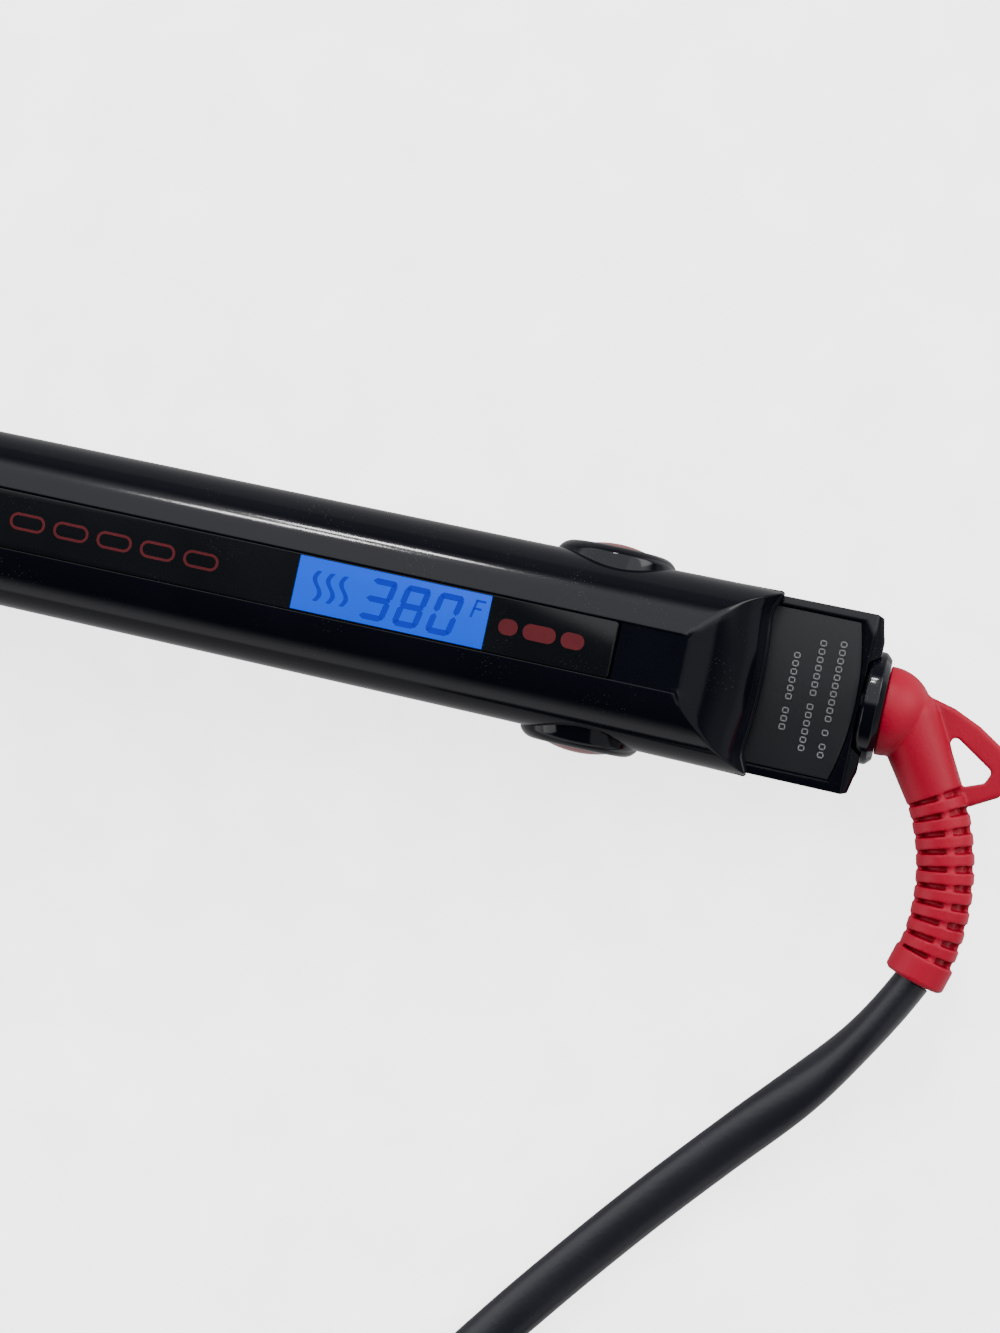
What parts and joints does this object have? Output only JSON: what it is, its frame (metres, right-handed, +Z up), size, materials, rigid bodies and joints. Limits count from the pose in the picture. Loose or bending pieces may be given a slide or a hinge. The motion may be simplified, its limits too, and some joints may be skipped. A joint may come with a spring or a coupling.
{
  "type": "curling iron",
  "caption": "Two-arm hair curling iron with a round heated barrel, a sprung clamp arm, a temperature display and a swivelling mains lead.",
  "frame": {"origin": "on the flat face the iron rests on, straight below the hinge axis", "axes": "+X along the lower arm towards the cord end, +Y to the left of it, +Z up from the resting face"},
  "size_m": [0.3924, 0.295, 0.0753],
  "materials": {
    "black_gloss": "gloss",
    "black_satin": "satin",
    "label_black": "satin",
    "red_gloss": "gloss",
    "red_rubber": "satin",
    "cord_rubber": "satin",
    "lcd": "gloss",
    "smoked_strip": "gloss",
    "heated_alu": "satin",
    "steel": "satin",
    "brass": "satin",
    "board_green": "satin",
    "ceramic": "matte",
    "wire_cover": "satin"
  },
  "bodies": {
    "lower_arm": {"lower_housing": "black_gloss", "lower_inner_cover": "black_satin", "lower_screws": "steel", "hinge_pin": "steel", "hinge_cap_left": "black_gloss", "hinge_cap_right": "black_gloss", "hinge_insert_left": "red_gloss", "hinge_insert_right": "red_gloss", "arm_spring": "steel", "barrel_tube": "heated_alu", "barrel_collar": "black_satin", "barrel_tip": "black_satin", "barrel_heater": "ceramic", "barrel_sensor": "brass", "swivel_bush": "black_satin", "brush_block": "black_satin", "brushes": "brass", "lower_leads": "wire_cover", "label_plate": "label_black"},
    "upper_arm": {"upper_housing": "black_gloss", "upper_inner_cover": "black_satin", "upper_screws": "steel", "display_strip": "smoked_strip", "lcd_panel": "lcd", "control_board": "board_green", "button_switches": "black_satin", "clamp_plate": "heated_alu", "clamp_heater": "ceramic", "clamp_cover": "black_gloss", "clamp_tip": "black_satin"},
    "cord_swivel": {"swivel_collar": "black_gloss", "swivel_spindle": "black_satin", "swivel_clip": "steel", "slip_rings": "brass", "strain_relief": "red_rubber", "cord_lead": "cord_rubber", "cord_coil": "cord_rubber", "cord_tie": "black_satin", "cord_end": "cord_rubber", "plug_body": "cord_rubber", "plug_blades": "steel"},
    "minus_button": {"minus_button": "black_satin"},
    "plus_button": {"plus_button": "black_satin"},
    "power_button": {"power_button": "red_gloss"}
  },
  "joints": [
    {"name": "arm_hinge", "type": "hinge", "parent": "lower_arm", "child": "upper_arm", "pos_m": [0, 0, 0.02], "axis": [0, 1, 0], "range_deg": [-9, 0], "stiffness_Nm_per_rad": 3, "springref_deg": 9.74, "deforming": ["arm_spring"]},
    {"name": "cord_swivel", "type": "hinge", "parent": "lower_arm", "child": "cord_swivel", "pos_m": [0.053, 0, 0.0114], "axis": [1, 0, 0], "continuous": true},
    {"name": "minus_press", "type": "slide", "parent": "upper_arm", "child": "minus_button", "axis": [-0.1564, 0, -0.9877], "range_m": [0, 0.0006], "stiffness_N_per_m": 1500},
    {"name": "plus_press", "type": "slide", "parent": "upper_arm", "child": "plus_button", "axis": [-0.1564, 0, -0.9877], "range_m": [0, 0.0006], "stiffness_N_per_m": 1500},
    {"name": "power_press", "type": "slide", "parent": "upper_arm", "child": "power_button", "axis": [-0.1564, 0, -0.9877], "range_m": [0, 0.0006], "stiffness_N_per_m": 1500}
  ]
}
